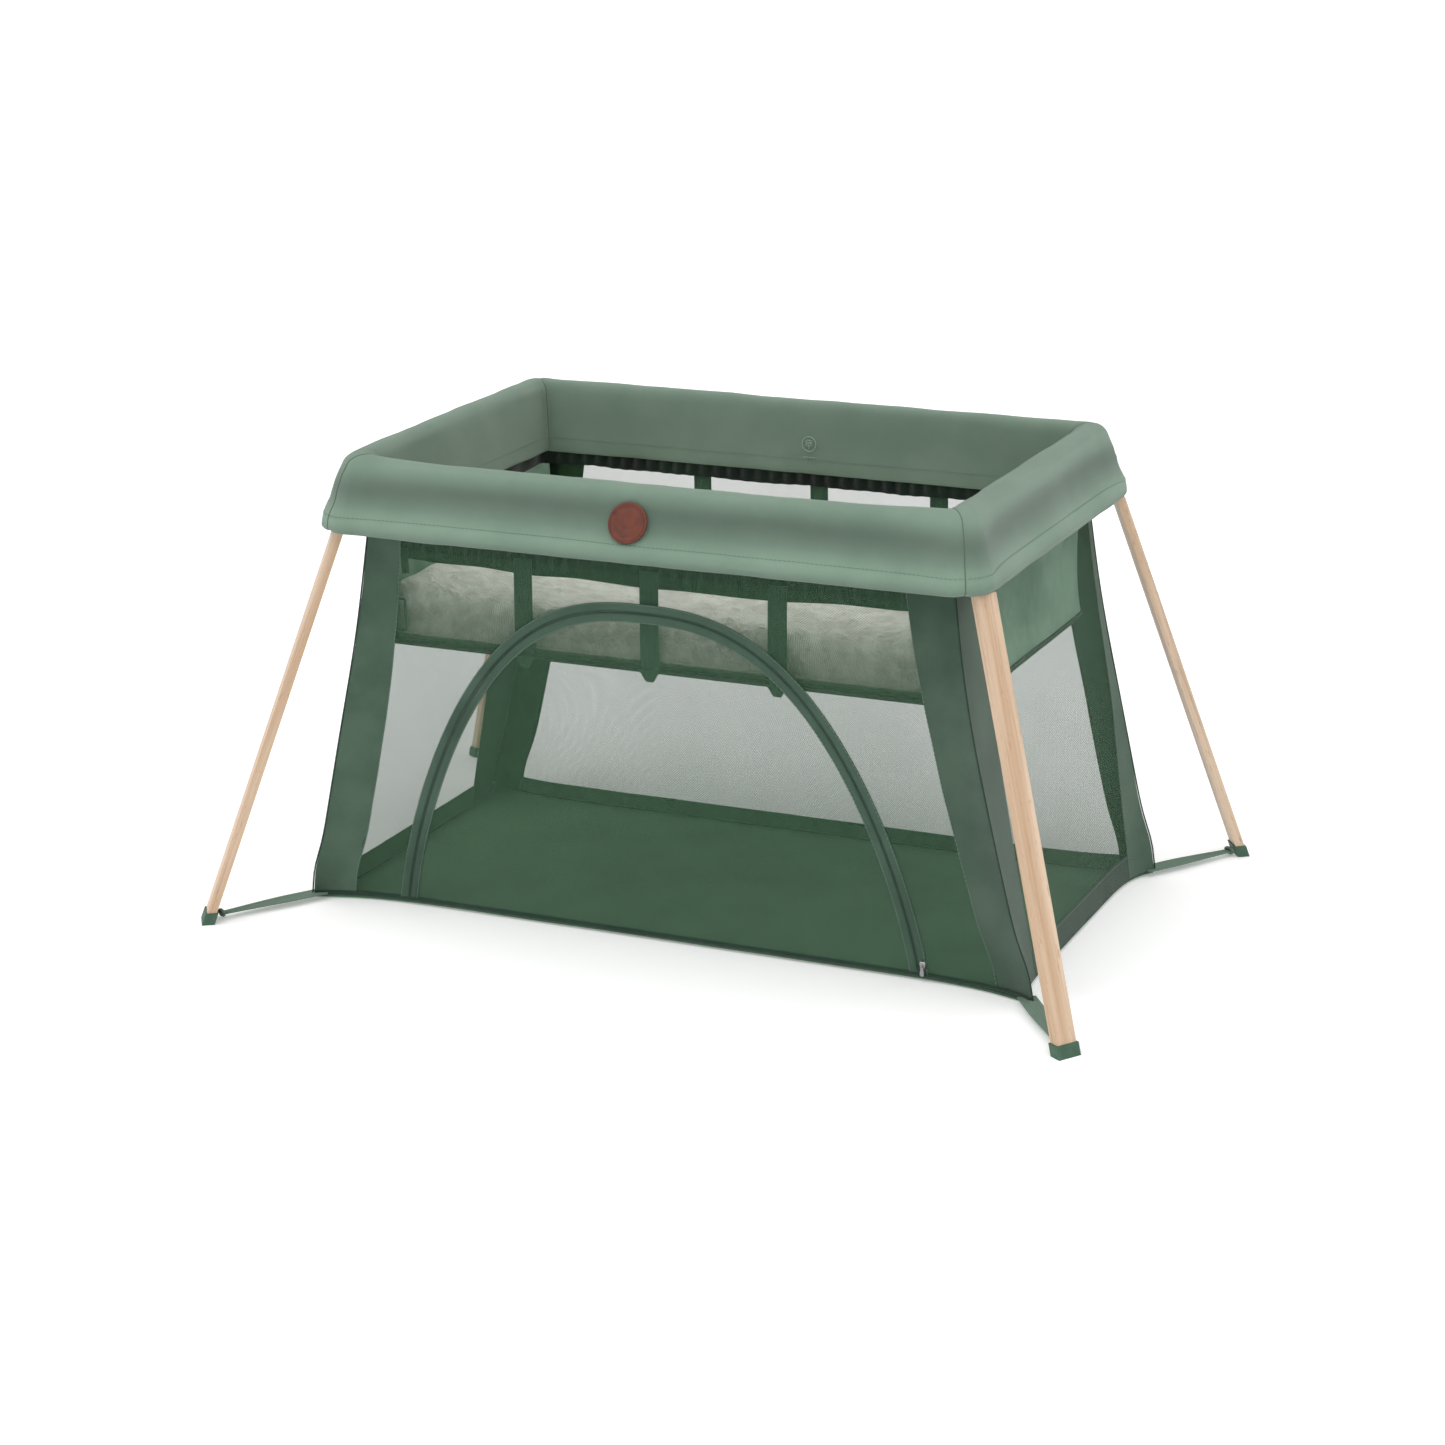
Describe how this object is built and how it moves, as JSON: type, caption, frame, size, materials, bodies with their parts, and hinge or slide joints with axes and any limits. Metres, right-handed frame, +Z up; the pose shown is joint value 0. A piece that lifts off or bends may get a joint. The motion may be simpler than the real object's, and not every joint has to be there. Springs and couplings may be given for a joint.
{
  "type": "playpen",
  "caption": "Folding baby playpen on splayed wooden legs with a padded fabric rim, see-through walls, a zipped arch door and a hanging newborn bassinet.",
  "frame": {"origin": "on the ground under the middle of the pen", "axes": "+X along the long side, -Y towards the side with the door, +Z up"},
  "size_m": [1.2608, 0.8442, 0.642],
  "materials": {
    "rim_fabric": "matt woven polyester, sage green",
    "wall_fabric": "matt woven polyester and fine mesh, darker green",
    "door_mesh": "fine see-through mesh with a bound edge",
    "floor_fabric": "matt coated woven floor, dark green",
    "bassinet_fabric": "mesh sides with green end panels",
    "mattress_cloth": "soft mottled grey quilt",
    "webbing": "flat woven webbing",
    "wood": "clear matt lacquered beech",
    "green_plastic": "satin moulded plastic",
    "dark_plastic": "matt moulded plastic",
    "rail_tube": "satin tube",
    "steel": "plated",
    "leather": "smooth embossed patch"
  },
  "bodies": {
    "left_frame": {"front_rail_left": "rail_tube", "back_rail_left": "rail_tube", "end_rail_left": "rail_tube", "elbow_front_left": "dark_plastic", "pivot_pin_front_left": "steel", "hinge_front_left": "dark_plastic", "front_wall_left": "wall_fabric", "elbow_back_left": "dark_plastic", "pivot_pin_back_left": "steel", "hinge_back_left": "dark_plastic", "back_wall_left": "wall_fabric", "rim_cover_left": "rim_fabric", "end_wall_left": "wall_fabric", "floor_left": "floor_fabric", "hinge_pin_front": "steel", "hinge_pin_back": "steel", "badge": "leather"},
    "right_frame": {"front_rail_right": "rail_tube", "back_rail_right": "rail_tube", "end_rail_right": "rail_tube", "elbow_front_right": "dark_plastic", "pivot_pin_front_right": "steel", "hinge_front_right": "dark_plastic", "front_wall_right": "wall_fabric", "elbow_back_right": "dark_plastic", "pivot_pin_back_right": "steel", "hinge_back_right": "dark_plastic", "back_wall_right": "wall_fabric", "rim_cover_right": "rim_fabric", "end_wall_right": "wall_fabric", "floor_right": "floor_fabric", "zip_slider": "steel"},
    "front_left_leg": {"leg_knuckle_front_left": "dark_plastic", "leg_front_left": "wood", "foot_front_left": "green_plastic", "foot_strap_front_left": "webbing"},
    "front_right_leg": {"leg_knuckle_front_right": "dark_plastic", "leg_front_right": "wood", "foot_front_right": "green_plastic", "foot_strap_front_right": "webbing"},
    "back_left_leg": {"leg_knuckle_back_left": "dark_plastic", "leg_back_left": "wood", "foot_back_left": "green_plastic", "foot_strap_back_left": "webbing"},
    "back_right_leg": {"leg_knuckle_back_right": "dark_plastic", "leg_back_right": "wood", "foot_back_right": "green_plastic", "foot_strap_back_right": "webbing"},
    "latch_front": {"latch_button_front": "green_plastic"},
    "latch_back": {"latch_button_back": "green_plastic"},
    "door_left": {"door_left": "door_mesh"},
    "bassinet_left": {"bassinet_left": "bassinet_fabric", "mattress_left": "mattress_cloth"},
    "door_right": {"door_right": "door_mesh"},
    "bassinet_right": {"bassinet_right": "bassinet_fabric", "mattress_right": "mattress_cloth"},
    "zip_pull": {"zip_pull": "steel"}
  },
  "joints": [
    {"name": "frame_fold", "type": "hinge", "parent": "left_frame", "child": "right_frame", "pos_m": [0, 0, 0.625], "axis": [0, -1, 0], "range_deg": [0, 180], "deforming": ["foot_strap_front_left", "front_wall_left", "foot_strap_front_right", "front_wall_right", "foot_strap_back_left", "back_wall_left", "foot_strap_back_right", "back_wall_right", "rim_cover_left", "end_wall_left", "door_left", "floor_left", "bassinet_left", "mattress_left", "rim_cover_right", "end_wall_right", "door_right", "floor_right", "bassinet_right", "mattress_right"]},
    {"name": "front_left_leg_fold", "type": "hinge", "parent": "left_frame", "child": "front_left_leg", "pos_m": [-0.44386, -0.27011, 0.575], "axis": [0, -0.9743, 0.2252], "range_deg": [0, 106.1]},
    {"name": "front_right_leg_fold", "type": "hinge", "parent": "right_frame", "child": "front_right_leg", "pos_m": [0.44386, -0.27011, 0.575], "axis": [0, 0.9743, -0.2252], "range_deg": [0, 106.1]},
    {"name": "back_left_leg_fold", "type": "hinge", "parent": "left_frame", "child": "back_left_leg", "pos_m": [-0.44386, 0.27011, 0.575], "axis": [0, -0.9743, -0.2252], "range_deg": [0, 106.1]},
    {"name": "back_right_leg_fold", "type": "hinge", "parent": "right_frame", "child": "back_right_leg", "pos_m": [0.44386, 0.27011, 0.575], "axis": [0, 0.9743, 0.2252], "range_deg": [0, 106.1]},
    {"name": "latch_front_press", "type": "slide", "parent": "left_frame", "child": "latch_front", "axis": [0, 0, 1], "range_m": [0, 0.0045], "stiffness_N_per_m": 400, "springref_m": -0.002},
    {"name": "latch_back_press", "type": "slide", "parent": "left_frame", "child": "latch_back", "axis": [0, 0, 1], "range_m": [0, 0.0045], "stiffness_N_per_m": 400, "springref_m": -0.002},
    {"name": "door_open", "type": "hinge", "parent": "left_frame", "child": "door_left", "pos_m": [0, -0.2365, 0.008], "axis": [-1, 0, 0], "range_deg": [-86, 0]},
    {"name": "door_open_right", "type": "hinge", "parent": "right_frame", "child": "door_right", "pos_m": [0, -0.2365, 0.008], "axis": [-1, 0, 0], "range_deg": [-86, 0]},
    {"name": "bassinet_lift", "type": "slide", "parent": "left_frame", "child": "bassinet_left", "axis": [0, 0, -1], "range_m": [-0.3, 0]},
    {"name": "bassinet_lift_right", "type": "slide", "parent": "right_frame", "child": "bassinet_right", "axis": [0, 0, -1], "range_m": [-0.3, 0]},
    {"name": "zip_pull_swing", "type": "hinge", "parent": "right_frame", "child": "zip_pull", "pos_m": [0.367, -0.2444, 0.0225], "axis": [1, 0, 0], "range_deg": [-85, 0]}
  ],
  "couplings": [
    {"joint": "front_left_leg_fold", "follows": "frame_fold", "ratio": 0.589},
    {"joint": "front_right_leg_fold", "follows": "frame_fold", "ratio": 0.589},
    {"joint": "back_left_leg_fold", "follows": "frame_fold", "ratio": 0.589},
    {"joint": "back_right_leg_fold", "follows": "frame_fold", "ratio": 0.589},
    {"joint": "door_open_right", "follows": "door_open", "ratio": 1},
    {"joint": "bassinet_lift_right", "follows": "bassinet_lift", "ratio": 1}
  ]
}
